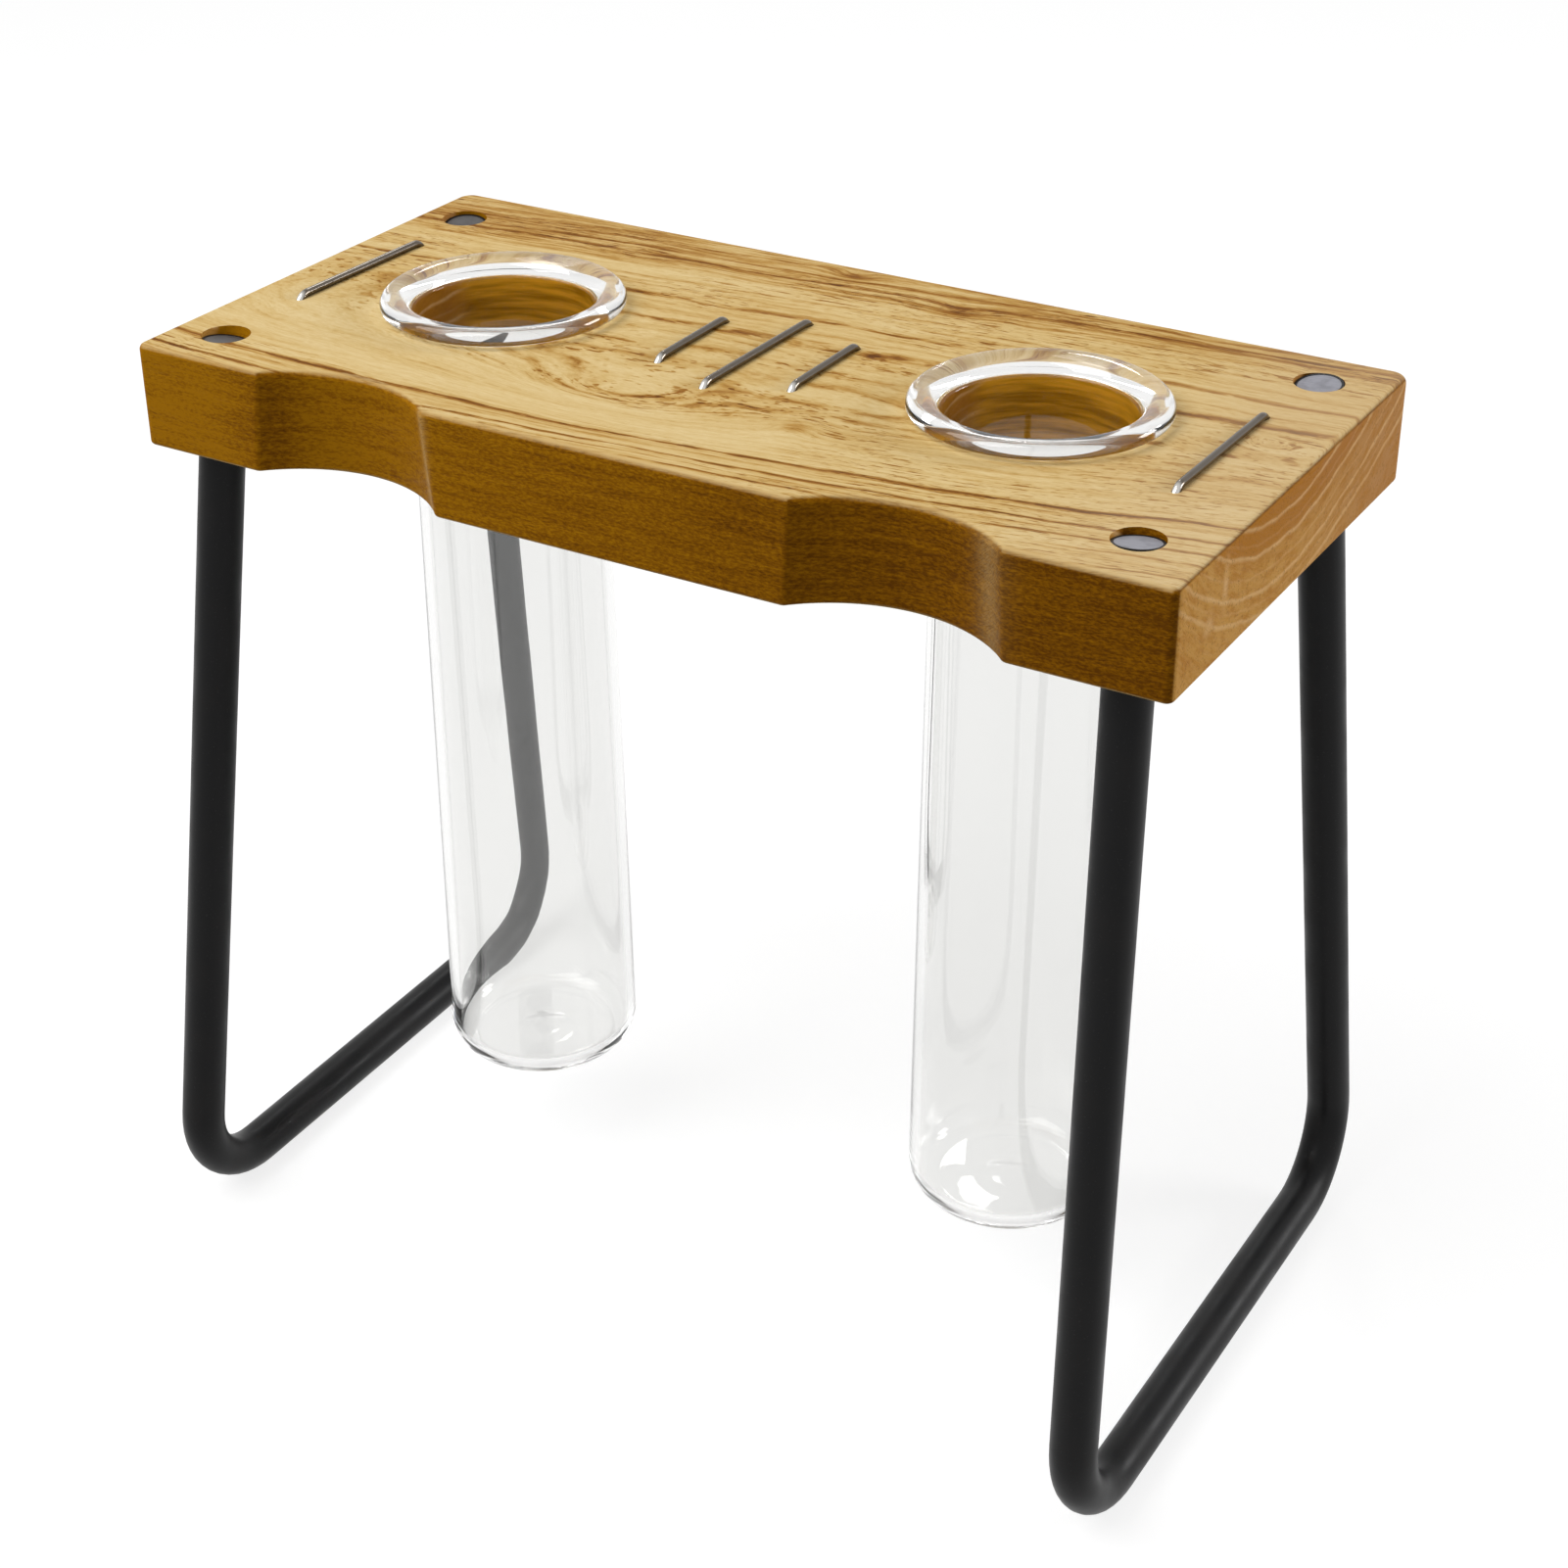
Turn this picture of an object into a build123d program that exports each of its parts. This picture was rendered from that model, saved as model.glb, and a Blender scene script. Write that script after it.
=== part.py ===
from build123d import *
import os

# Driving dimensions, in millimetres and degrees.
# The origin is on the table, midway between the two stands.
# +X runs along the wooden top, +Y towards its straight back edge, and +Z is up.

# Wooden top
top_length = 150.0
top_width = 74.0
top_thickness = 14.5
top_height = 136.5              # upper face above the table
top_middle_x = 0.7              # middle of the top, from the middle of the stands
front_corner_radius = 1.1
back_corner_radius = 2.4
upper_edge_radius = 1.0
lower_edge_radius = 0.6

# Scallops in the front edge: a round cut that leans, so it is deeper below than above
scallop_radius = 20.3
scallop_ease = 1.1
scallops = {
    # side: (middle x, depth at the upper face, depth at the lower face)
    "left": (-40.6, 4.7, 6.1),
    "right": (40.0, 5.4, 6.2),
}

# Stands: one round rod each, bent to two splayed legs and a bar on the table
rod_diameter = 6.3
bend_radius = 12.0              # to the middle of the rod
leg_top_x = 66.5                # where a leg's centre line meets the upper face
leg_top_y = 27.5
leg_foot_x = 73.5               # where the centre lines of leg and bar would cross
leg_foot_y = 46.5
rod_hole_clearance = 0.15       # on the radius
stands = {
    # side: (+1 or -1, turn about Z, shift in y, depth of the sawn ends in their holes)
    "left": (-1, 1.1, -1.0, 0.9),
    "right": (1, -0.2, 0.3, 0.35),
}

# Glass tubes
neck_diameter = 26.8
foot_diameter = 28.8
glass_thickness = 1.2
neck_length = 18.0              # straight part below the rim
taper_blend = 60.0              # radius between the straight neck and the taper
tube_depth = 119.7              # from the rim's underside to the foot
floor_thickness = 1.7
heel_radius = 4.6
inner_heel_radius = 3.4
dimple_height = 0.25            # hollow under the foot
dimple_diameter = 9.0
dimple_blend = 10.0
rim_diameter = 33.6
rim_height = 2.6
rim_seat_width = 1.85           # flat ring that rests on the wood round the hole
rim_edge_rise = 0.75            # from the wood up to the rim's outer edge, which stands clear
rim_root_radius = 0.5           # where the neck meets the seat
rim_seat_radius = 0.5           # where the seat turns up to the outer edge
rim_lower_radius = 0.5
rim_upper_radius = 1.35
mouth_radius = 2.9              # rounding from the rim's top into the bore
tube_places = {
    # side: (x, y)
    "left": (-39.7, -1.6),
    "right": (40.3, 0.9),
}
tube_hole_diameter = 29.4
tube_hole_ease = 0.3            # rounding of the hole's two edges

# Wire staples
wire_diameter = 1.1
wire_bend_radius = 1.9          # to the middle of the wire
wire_sink = 0.05                # how far the bars are pressed into the wood
wire_depth = 8.0                # ends below the upper face
wire_hole_clearance = 0.03      # on the radius
long_staple = 28.4
short_staple = 19.0
staple_middle_y = 0.3
staples = {
    # name: (x, overall length, turn about Z)
    "left_staple": (-65.7, long_staple, -1.5),
    "centre_left_staple": (-10.5, short_staple, 0.4),
    "centre_staple": (-0.4, long_staple, -0.8),
    "centre_right_staple": (9.7, short_staple, 0.0),
    "right_staple": (64.9, long_staple, -1.0),
}

# Values that follow
rod_radius = rod_diameter / 2
wire_radius = wire_diameter / 2
neck_radius = neck_diameter / 2
foot_radius = foot_diameter / 2
rim_radius = rim_diameter / 2
bore_radius = neck_radius - glass_thickness
top_underside = top_height - top_thickness
front_edge_y = -top_width / 2


def stand_location(side):
    """Where a stand's own frame lies: turned a little and shifted along y."""
    sign, turn, shift_y, recess = stands[side]
    return Location((sign * leg_top_x, shift_y, 0), (0, 0, turn))


def leg_points(side, end):
    """Foot corner and upper end of a leg's centre line, in the stand's own frame."""
    sign, turn, shift_y, recess = stands[side]
    foot = Vector(sign * (leg_foot_x - leg_top_x), end * leg_foot_y, rod_radius)
    face = Vector(0, end * leg_top_y, top_height)
    along = (face - foot).normalized()
    return foot, face - along * recess


def stand(side):
    """One bent rod: leg, bar on the table, leg."""
    front_foot, front_end = leg_points(side, -1)
    back_foot, back_end = leg_points(side, 1)
    path = FilletPolyline(front_end, front_foot, back_foot, back_end, radius=bend_radius)
    start = Plane(origin=path @ 0, z_dir=path % 0)
    rod = sweep(start * Circle(rod_radius), path=path)
    return stand_location(side) * rod


def leg_hole(side, end):
    """The slanted hole that a leg passes through."""
    foot, upper = leg_points(side, end)
    along = (upper - foot).normalized()
    hole_plane = Plane(origin=upper, z_dir=along)
    hole = hole_plane * Cylinder(rod_radius + rod_hole_clearance, 4 * top_thickness)
    return stand_location(side) * hole


def scallop_cut(side):
    """A leaning drum that cuts one scallop."""
    x, upper_depth, lower_depth = scallops[side]
    upper = Vector(x, front_edge_y + upper_depth - scallop_radius, top_height)
    lower = Vector(x, front_edge_y + lower_depth - scallop_radius, top_underside)
    drum_plane = Plane(origin=(upper + lower) / 2, z_dir=upper - lower)
    return drum_plane * Cylinder(scallop_radius, 2 * top_thickness)


def bent_wire(name, radius, depth):
    """A staple's line of leg, bar on the wood and leg, swept with a round section."""
    x, length, turn = staples[name]
    half = length / 2 - wire_radius
    bar_z = top_height + wire_radius - wire_sink
    end_z = top_height - depth
    path = FilletPolyline(
        (0, -half, end_z), (0, -half, bar_z), (0, half, bar_z), (0, half, end_z),
        radius=wire_bend_radius,
    )
    start = Plane(origin=path @ 0, z_dir=path % 0)
    wire = sweep(start * Circle(radius), path=path)
    return Location((x, staple_middle_y, 0), (0, 0, turn)) * wire


def staple(name):
    """A wire staple bent from one length."""
    return bent_wire(name, wire_radius, wire_depth)


def staple_holes(name):
    """The bed of a staple in the wood: its two holes and the groove under its bar."""
    clearance = wire_hole_clearance
    return bent_wire(name, wire_radius + clearance, wire_depth + clearance)


def wooden_top():
    """The board with its scallops, tube holes, leg holes and staple holes."""
    middle_z = (top_height + top_underside) / 2
    board = Pos(top_middle_x, 0, middle_z) * Box(top_length, top_width, top_thickness)
    board = fillet(board.edges().filter_by(Axis.Z).sort_by(Axis.Y)[:2], front_corner_radius)
    board = fillet(board.edges().filter_by(Axis.Z).sort_by(Axis.Y)[-2:], back_corner_radius)
    for side in scallops:
        board -= scallop_cut(side)
    # The scallops' upright corners are the cuts' only edges with middles between the two faces.
    low, high = top_underside + upper_edge_radius, top_height - upper_edge_radius
    corners = board.edges().filter_by(GeomType.ELLIPSE).filter_by_position(Axis.Z, low, high)
    board = fillet(corners, scallop_ease)
    board = fillet(board.faces().sort_by(Axis.Z)[-1].outer_wire().edges(), upper_edge_radius)
    board = fillet(board.faces().sort_by(Axis.Z)[0].outer_wire().edges(), lower_edge_radius)
    for x, y in tube_places.values():
        board -= Pos(x, y, middle_z) * Cylinder(tube_hole_diameter / 2, 2 * top_thickness)
    round_edges = board.edges().filter_by(GeomType.CIRCLE)
    hole_edges = [edge for edge in round_edges if edge.radius > back_corner_radius]
    board = fillet(hole_edges, tube_hole_ease)
    for side in stands:
        for end in (-1, 1):
            board -= leg_hole(side, end)
    for name in staples:
        board -= staple_holes(name)
    return board


def glass_tube(side):
    """A tube that hangs by its rolled rim, straight at the neck and wider at the foot."""
    foot_z = top_height - tube_depth
    neck_z = top_height - neck_length
    floor_z = foot_z + floor_thickness
    rim_z = top_height + rim_height
    corners = [
        # (distance from the axis, height, radius of the corner)
        (dimple_diameter / 4, foot_z + dimple_height, dimple_blend),
        (dimple_diameter / 2, foot_z, dimple_blend),
        (foot_radius, foot_z, heel_radius),
        (neck_radius, neck_z, taper_blend),
        (neck_radius, top_height, rim_root_radius),
        (neck_radius + rim_seat_width, top_height, rim_seat_radius),
        (rim_radius, top_height + rim_edge_rise, rim_lower_radius),
        (rim_radius, rim_z, rim_upper_radius),
        (bore_radius, rim_z, mouth_radius),
        (bore_radius, neck_z, taper_blend),
        (foot_radius - glass_thickness, floor_z, inner_heel_radius),
    ]
    points = [(r, 0, z) for r, z, radius in corners]
    radii = [radius for r, z, radius in corners]
    axis_low = (0, 0, foot_z + dimple_height)
    axis_high = (0, 0, floor_z)
    outline = FilletPolyline(axis_low, *points, axis_high, radius=radii)
    closing = Line(outline @ 1, outline @ 0)
    section = make_face(Wire([*outline.edges(), closing.edge()]))
    tube = revolve(section, axis=Axis.Z)
    x, y = tube_places[side]
    return Pos(x, y, 0) * tube


def main():
    parts = {"wooden_top": wooden_top()}
    for side in stands:
        parts[side + "_stand"] = stand(side)
    for side in tube_places:
        parts[side + "_tube"] = glass_tube(side)
    for name in staples:
        parts[name] = staple(name)
    os.makedirs("parts", exist_ok=True)
    for name, solid in parts.items():
        export_step(solid, "parts/" + name + ".step")
        size = solid.bounding_box().size
        print(f"{name}: {size.X:.1f} x {size.Y:.1f} x {size.Z:.1f} mm, {solid.volume:.0f} mm3")


if __name__ == "__main__":
    main()
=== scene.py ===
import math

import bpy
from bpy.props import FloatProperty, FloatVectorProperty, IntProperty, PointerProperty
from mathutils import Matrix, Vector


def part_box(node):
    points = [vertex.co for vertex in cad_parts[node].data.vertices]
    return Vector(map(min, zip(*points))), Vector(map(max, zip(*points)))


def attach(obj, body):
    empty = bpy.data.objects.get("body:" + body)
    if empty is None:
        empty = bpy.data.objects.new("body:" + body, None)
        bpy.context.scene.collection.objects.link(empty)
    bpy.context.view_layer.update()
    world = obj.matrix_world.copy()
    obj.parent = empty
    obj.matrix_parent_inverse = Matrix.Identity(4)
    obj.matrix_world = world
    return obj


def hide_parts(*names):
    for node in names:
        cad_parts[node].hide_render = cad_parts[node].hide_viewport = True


bl_info = {
    "name": "Test Tube Vase",
    "version": (1, 0, 0),
    "blender": (4, 5, 0),
    "location": "View3D > Sidebar > Vase",
    "description": "Finishes a wooden stand with two hanging glass tubes around its fixed frame",
    "category": "Object",
}

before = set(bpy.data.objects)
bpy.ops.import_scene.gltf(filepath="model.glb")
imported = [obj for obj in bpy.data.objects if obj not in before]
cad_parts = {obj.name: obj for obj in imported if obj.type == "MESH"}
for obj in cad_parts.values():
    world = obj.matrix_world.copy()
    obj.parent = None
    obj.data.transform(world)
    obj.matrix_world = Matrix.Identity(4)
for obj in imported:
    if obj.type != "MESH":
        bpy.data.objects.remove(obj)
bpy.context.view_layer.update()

MM = 0.001
SIDES = {"left": -1, "right": 1}
STAPLES = (
    "left_staple", "centre_left_staple", "centre_staple", "centre_right_staple", "right_staple",
)
SAME_PLACE = 1e-6                   # points nearer than this, in metres, are one point
FACING = 0.99                       # cosine from which a face looks along a direction
SMOOTH_ANGLE = math.radians(40)     # faces that meet at less than this are shaded as one
BEND_STEPS = 14                     # faces along each bend of a rod

# Soft boxes: (name, place in metres, side in metres)
SOFT_BOXES = (
    ("key_light", (-0.37, -0.48, 0.90), 0.85),
    ("side_light", (0.85, 0.62, 0.42), 0.35),
    ("back_light", (-0.44, 0.77, 0.83), 0.16),
)
LIGHTS_AIM = (0, 0, 0.08)           # metres
FLOOR_SIZE = 8.0                    # metres
FLOOR_GREY = (0.30, 0.30, 0.30)     # what shadows can darken of the floor that is seen
WHITE = (1.0, 1.0, 1.0)
SENSOR_WIDTH = 36.0                 # millimetres
CLIP_RANGE = (0.01, 50.0)           # metres
MOST_BOUNCES = 32
GLASS_BOUNCES = 24                  # fewer leave dark patches in the rims


# ---------------------------------------------------------------- properties

def length(name, description, millimetres):
    """A length that is written in millimetres and kept in metres."""
    return FloatProperty(
        name=name, description=description, default=millimetres * MM, unit="LENGTH", precision=5
    )


def angle(name, description, degrees):
    """An angle that is written in degrees and kept in radians."""
    return FloatProperty(
        name=name, description=description, default=math.radians(degrees), subtype="ANGLE"
    )


def linear(red, green, blue):
    """A screen colour of 0 to 255 as Blender's linear colour."""
    parts = [part / 255 for part in (red, green, blue)]
    return tuple(p / 12.92 if p <= 0.04045 else ((p + 0.055) / 1.055) ** 2.4 for p in parts)


def colour(name, description, red, green, blue):
    """A colour that is written as screen values of 0 to 255."""
    return FloatVectorProperty(
        name=name, description=description, default=linear(red, green, blue),
        subtype="COLOR", size=3, min=0.0, max=1.0,
    )


def number(name, description, value):
    """A plain number, such as the power of a lamp."""
    return FloatProperty(name=name, description=description, default=value)


class VaseSizes(bpy.types.PropertyGroup):
    """Sizes of the rods and tubes, which are those of the fixed frame but for gap, coat and step."""

    top_height: length("Top height", "Upper face of the wood above the table", 136.5)
    rod_diameter: length("Rod diameter", "Across the coated rod", 6.3)
    bend_radius: length("Bend radius", "Radius of the rod's bends, to the middle of the rod", 12.0)
    leg_top_x: length("Leg top X", "Middle of the legs' upper ends, from the middle", 66.5)
    leg_top_y: length("Leg top Y", "Middle of the legs' upper ends, from the stand's middle", 27.5)
    leg_foot_x: length("Leg foot X", "Where leg and bar would cross, from the middle", 73.5)
    leg_foot_y: length("Leg foot Y", "Where leg and bar would cross, from the stand's middle", 46.5)
    left_turn: angle("Left turn", "Turn of the left stand about the vertical", 1.1)
    right_turn: angle("Right turn", "Turn of the right stand about the vertical", -0.2)
    left_shift: length("Left shift", "Left stand's place along Y", -1.0)
    right_shift: length("Right shift", "Right stand's place along Y", 0.3)
    left_recess: length("Left recess", "Depth of the left stand's sawn ends in their holes", 0.9)
    right_recess: length("Right recess", "Depth of the right stand's sawn ends in their holes", 0.35)
    coat: length("Coat", "Thickness of the coat as it shows round a sawn end", 0.32)
    sawn_step: length("Sawn step", "Depth of a sawn end below the coat's edge", 0.06)
    rod_sides: IntProperty(name="Rod sides", description="Faces round the rod", default=48, min=8)

    neck_diameter: length("Neck diameter", "Across the glass below the rim", 26.8)
    foot_diameter: length("Foot diameter", "Across the glass at the foot", 28.8)
    glass: length("Glass thickness", "Thickness of the tube's wall", 1.2)
    neck_length: length("Neck length", "Straight part below the rim", 18.0)
    tube_depth: length("Tube depth", "From the rim's underside to the foot", 119.7)
    floor_thickness: length("Floor thickness", "Thickness of the glass at the foot", 1.7)
    heel_radius: length("Heel radius", "Rounding of the foot's outer edge", 4.6)
    inner_heel: length("Inner heel", "Rounding inside the foot", 3.4)
    dimple_height: length("Dimple height", "Hollow under the foot", 0.25)
    dimple_diameter: length("Dimple diameter", "Across the hollow under the foot", 9.0)
    dimple_blend: length("Dimple blend", "Rounding of the hollow under the foot", 10.0)
    taper_blend: length("Taper blend", "Rounding between the straight neck and the taper", 60.0)
    rim_diameter: length("Rim diameter", "Across the rolled rim", 33.6)
    rim_height: length("Rim height", "Rolled rim above the wood", 2.6)
    rim_seat: length("Rim seat", "Width of the flat ring that rests on the wood", 1.85)
    rim_edge_rise: length("Rim edge rise", "From the wood up to the rim's outer edge", 0.75)
    rim_small: length("Small rim rounding", "Rounding of the rim's root, seat and lower edge", 0.5)
    rim_upper: length("Upper rim rounding", "Rounding of the rim's upper outer edge", 1.35)
    mouth: length("Mouth rounding", "Rounding from the rim's top into the bore", 2.9)
    seat_gap: length("Seat gap", "Air between the rim's underside and the wood", 0.05)
    tube_sides: IntProperty(name="Tube sides", description="Faces round a tube", default=144, min=16)


class VaseColours(bpy.types.PropertyGroup):
    """Colours of the wood, the rod, the wire, the glass and the floor."""

    wood_pale: colour("Pale wood", "Palest early wood of the upper face", 228, 203, 149)
    wood_main: colour("Main wood", "Common colour of the upper face", 214, 182, 119)
    wood_warm: colour("Warm wood", "Warm streaks of the upper face", 191, 148, 77)
    wood_rosy: colour("Rosy wood", "Rosier right end of the upper face", 212, 184, 150)
    wood_line: colour("Growth line", "Growth lines and pores", 146, 94, 28)
    wood_core: colour("Line core", "Darkest cores of the growth lines", 98, 55, 8)
    side_light: colour("Light side", "Palest long grain of the front and back", 172, 116, 6)
    side_main: colour("Main side", "Common colour of the front and back", 141, 89, 2)
    side_dark: colour("Dark side", "Darkest streaks of the front and back", 104, 60, 0)
    # Painted light: the pale colour that brightens the walls of the holes.
    painted_hole_light: colour("Bored wood", "Walls of the holes for the tubes", 238, 170, 40)
    end_main: colour("End grain", "Main colour of the sawn ends", 210, 156, 78)
    end_dark: colour("Dark end grain", "Late wood of the sawn ends", 184, 120, 34)
    end_line: colour("Pale ring", "Pale growth rings of the sawn ends", 238, 194, 134)
    end_back: colour("Back of the end", "Redder end grain towards the back edge", 178, 122, 76)
    # This worn edge colour also paints the highlights on the scallops' upright corners.
    edge: colour("Worn edge", "Rubbed edges of the wood", 224, 190, 130)
    rod: colour("Coat", "Satin black coat of the rod", 18, 18, 19)
    rod_rubbed: colour("Rubbed coat", "Faintly rubbed patches of the coat", 32, 30, 29)
    rod_speck: colour("Specks", "Pale specks in the coat", 54, 53, 54)
    left_sawn: colour("Left sawn ends", "Tarnished ends of the left rod", 84, 82, 82)
    right_sawn: colour("Right sawn ends", "Ends of the right rod", 148, 148, 156)
    wire: colour("Wire", "Drawn steel wire", 100, 93, 85)
    wire_stain: colour("Stained wire", "Brown stain on the wire", 84, 72, 62)
    # Painted highlight: the paler wire colour where the front bends face the front.
    wire_front_highlight: colour("Bent wire", "Wire rubbed bright at its front bends", 196, 193, 188)
    glass: colour("Glass", "Faint tint of the clear glass", 243, 243, 242)
    floor: colour("Floor", "Plain floor as it lights the vase", 155, 155, 155)


class VaseStage(bpy.types.PropertyGroup):
    """Camera and light."""

    camera_x: length("Camera X", "Place of the camera", 178.4)
    camera_y: length("Camera Y", "Place of the camera", -293.2)
    camera_z: length("Camera Z", "Place of the camera", 268.6)
    azimuth: angle("Azimuth", "Turn of the view about the vertical", 30.829)
    elevation: angle("Elevation", "Height of the view above the horizon", 29.793)
    roll: angle("Roll", "Turn of the camera about its own line of sight", -0.34)
    lens: number("Lens", "Focal length in mm for a 36 mm sensor", 63.87)
    sky: number("Sky", "Level of the even light from all sides", 0.25)
    floor_glow: number("Floor glow", "Share of the floor's white that shadows can't darken", 0.80)
    key: number("Key light", "Power of the soft box at the upper left front", 8.5)
    side: number("Side light", "Power of the soft box at the right and behind", 5.2)
    back: number("Back light", "Power of the small soft box at the left and behind", 0.8)


# ---------------------------------------------------------------- modelling by hand

def deselect_all():
    if bpy.context.object and bpy.context.object.mode != "OBJECT":
        bpy.ops.object.mode_set(mode="OBJECT")
    bpy.ops.object.select_all(action="DESELECT")


def enter_edit(piece):
    deselect_all()
    piece.select_set(True)
    bpy.context.view_layer.objects.active = piece
    bpy.ops.object.mode_set(mode="EDIT")


def leave_edit():
    bpy.ops.object.mode_set(mode="OBJECT")


def select_vertices(piece, wanted):
    """Selects, in edit mode, the vertices whose place passes the test."""
    bpy.ops.mesh.select_mode(type="VERT")
    bpy.ops.mesh.select_all(action="DESELECT")
    bpy.ops.object.mode_set(mode="OBJECT")
    for vertex in piece.data.vertices:
        vertex.select = wanted(piece.matrix_world @ vertex.co)
    bpy.ops.object.mode_set(mode="EDIT")


def select_faces(piece, wanted):
    """Selects, in edit mode, the faces whose middle and normal pass the test."""
    bpy.ops.mesh.select_mode(type="FACE")
    bpy.ops.mesh.select_all(action="DESELECT")
    bpy.ops.object.mode_set(mode="OBJECT")
    for face in piece.data.polygons:
        face.select = wanted(piece.matrix_world @ face.center, face.normal)
    bpy.ops.object.mode_set(mode="EDIT")


def settle(piece, name):
    """Names a finished piece and puts its place into its mesh."""
    deselect_all()
    piece.select_set(True)
    bpy.context.view_layer.objects.active = piece
    bpy.ops.object.transform_apply(location=True, rotation=True, scale=True)
    bpy.ops.object.shade_smooth_by_angle(angle=SMOOTH_ANGLE)
    piece.name = name
    piece.data.name = name
    return piece


def give_material(piece, *materials):
    """Puts materials in the piece's slots, in place of those it had."""
    while len(piece.data.materials) < len(materials):
        piece.data.materials.append(None)
    for slot, material in enumerate(materials):
        piece.data.materials[slot] = material


# ---------------------------------------------------------------- shader nodes

class Nodes:
    """One material's node tree, with a short call for each kind of node."""

    def __init__(self, owner):
        owner.use_nodes = True
        self.tree = owner.node_tree
        self.tree.nodes.clear()

    def put(self, socket, value):
        """Joins a socket to an input, or writes a number or colour in it."""
        if isinstance(value, bpy.types.NodeSocket):
            self.tree.links.new(value, socket)
        elif hasattr(value, "__len__") and len(value) == 3 and len(socket.default_value) == 4:
            socket.default_value = (*value, 1.0)
        else:
            socket.default_value = value

    def add(self, kind, settings=None, **inputs):
        made = self.tree.nodes.new(kind)
        for name, value in (settings or {}).items():
            setattr(made, name, value)
        for name, value in inputs.items():
            self.put(made.inputs[name.replace("_", " ")], value)
        return made

    def math(self, operation, first, second=0.0):
        made = self.add("ShaderNodeMath", {"operation": operation})
        for socket, value in zip(made.inputs, (first, second)):
            self.put(socket, value)
        return made.outputs[0]

    def plus(self, *values):
        total = values[0]
        for value in values[1:]:
            total = self.math("ADD", total, value)
        return total

    def times(self, *values):
        total = values[0]
        for value in values[1:]:
            total = self.math("MULTIPLY", total, value)
        return total

    def less(self, first, second):
        return self.math("SUBTRACT", first, second)

    def rise(self, value, low, high, start=0.0, end=1.0):
        """Goes smoothly from start to end while value goes from low to high."""
        made = self.add("ShaderNodeMapRange", {"interpolation_type": "SMOOTHSTEP"})
        for socket, given in zip(made.inputs, (value, low, high, start, end)):
            self.put(socket, given)
        return made.outputs[0]

    def spot(self, across, along, middle, reach):
        """A soft round spot: 1 at its middle, and faint at its reach in each direction."""
        squares = []
        for value, place, far in zip((across, along), middle, reach):
            away = self.math("DIVIDE", self.less(value, place), far)
            squares.append(self.times(away, away))
        return self.math("EXPONENT", self.times(self.plus(*squares), -1.0))

    def join(self, x, y, z):
        made = self.add("ShaderNodeCombineXYZ", X=x, Y=y, Z=z)
        return made.outputs[0]

    def split(self, vector):
        made = self.add("ShaderNodeSeparateXYZ", Vector=vector)
        return made.outputs[0], made.outputs[1], made.outputs[2]

    def distance(self, across, along):
        """How far apart two points are, from their two differences."""
        squares = self.plus(self.times(across, across), self.times(along, along))
        return self.math("SQRT", squares)

    def noise(self, vector, scale=1.0, detail=2.0, roughness=0.5):
        made = self.add(
            "ShaderNodeTexNoise", Vector=vector, Scale=scale, Detail=detail, Roughness=roughness
        )
        return made.outputs["Fac"]

    def drawn_noise(self, *pairs, detail=2.0, roughness=0.5):
        """Noise on three values, each times its own number: a small number draws it out."""
        place = self.join(*(self.times(value, factor) for value, factor in pairs))
        return self.noise(place, detail=detail, roughness=roughness)

    def mix(self, share, first, second):
        made = self.add("ShaderNodeMix", {"data_type": "RGBA"})
        self.put(made.inputs["Factor"], share)
        self.put(made.inputs[6], first)
        self.put(made.inputs[7], second)
        return made.outputs[2]

    def ramp(self, value, stops):
        """A colour scale through (place, colour) stops."""
        made = self.add("ShaderNodeValToRGB", Fac=value)
        band = made.color_ramp
        while len(band.elements) < len(stops):
            band.elements.new(1.0)
        for element, (place, shade) in zip(band.elements, sorted(stops)):
            element.position = place
            element.color = (*shade, 1.0)
        return made.outputs[0]

    def millimetres(self):
        """The point on the piece, in millimetres, as x, y and z."""
        place = self.add("ShaderNodeTexCoord").outputs["Object"]
        scaled = self.add("ShaderNodeMapping", Vector=place, Scale=(1 / MM, 1 / MM, 1 / MM))
        return self.split(scaled.outputs[0])

    def normal(self):
        return self.split(self.add("ShaderNodeNewGeometry").outputs["Normal"])

    def bump(self, height, strength, distance_mm):
        distance = distance_mm * MM
        made = self.add("ShaderNodeBump", Height=height, Strength=strength, Distance=distance)
        return made.outputs[0]

    def surface(self, **inputs):
        """Ends the tree in a Principled shader."""
        shader = self.add("ShaderNodeBsdfPrincipled")
        for name, value in inputs.items():
            self.put(shader.inputs[name.replace("_", " ")], value)
        self.output(shader.outputs[0])

    def output(self, shader):
        self.add("ShaderNodeOutputMaterial", Surface=shader)


def new_material(name):
    material = bpy.data.materials.new(name)
    return material, Nodes(material)


# ---------------------------------------------------------------- wood

# Everything in this part is in millimetres. A place is (x, y), and a reach goes both ways from it.

# Pith of the board and middle of the sawn ends' rings: (y, height above the upper face)
PITH = (-9.0, 20.0)
END_PITH = (-4.0, 37.0)

# Growth lines of the board: (radius from the pith, darkness, half width)
FRONT_LINES = (
    (20.2, 0.70, 0.16), (20.9, 0.75, 0.14), (21.6, 0.45, 0.12), (24.6, 0.12, 0.20),
    (27.9, 0.25, 0.10), (29.2, 1.00, 0.40), (30.4, 0.30, 0.12), (31.9, 1.00, 0.32),
    (33.0, 0.60, 0.16), (34.2, 0.80, 0.26), (36.4, 0.60, 0.24), (39.5, 0.60, 0.30),
)
BACK_LINES = (
    (20.9, 0.30, 0.10), (21.8, 0.20, 0.10), (22.6, 0.82, 0.34), (23.9, 0.22, 0.12),
    (24.8, 0.14, 0.14), (25.8, 0.74, 0.30), (27.3, 0.20, 0.14), (28.9, 0.30, 0.18),
    (31.2, 0.30, 0.30), (32.5, 0.26, 0.30), (33.4, 0.62, 0.34), (34.9, 0.30, 0.40),
    (36.4, 0.36, 0.40),
)
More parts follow.
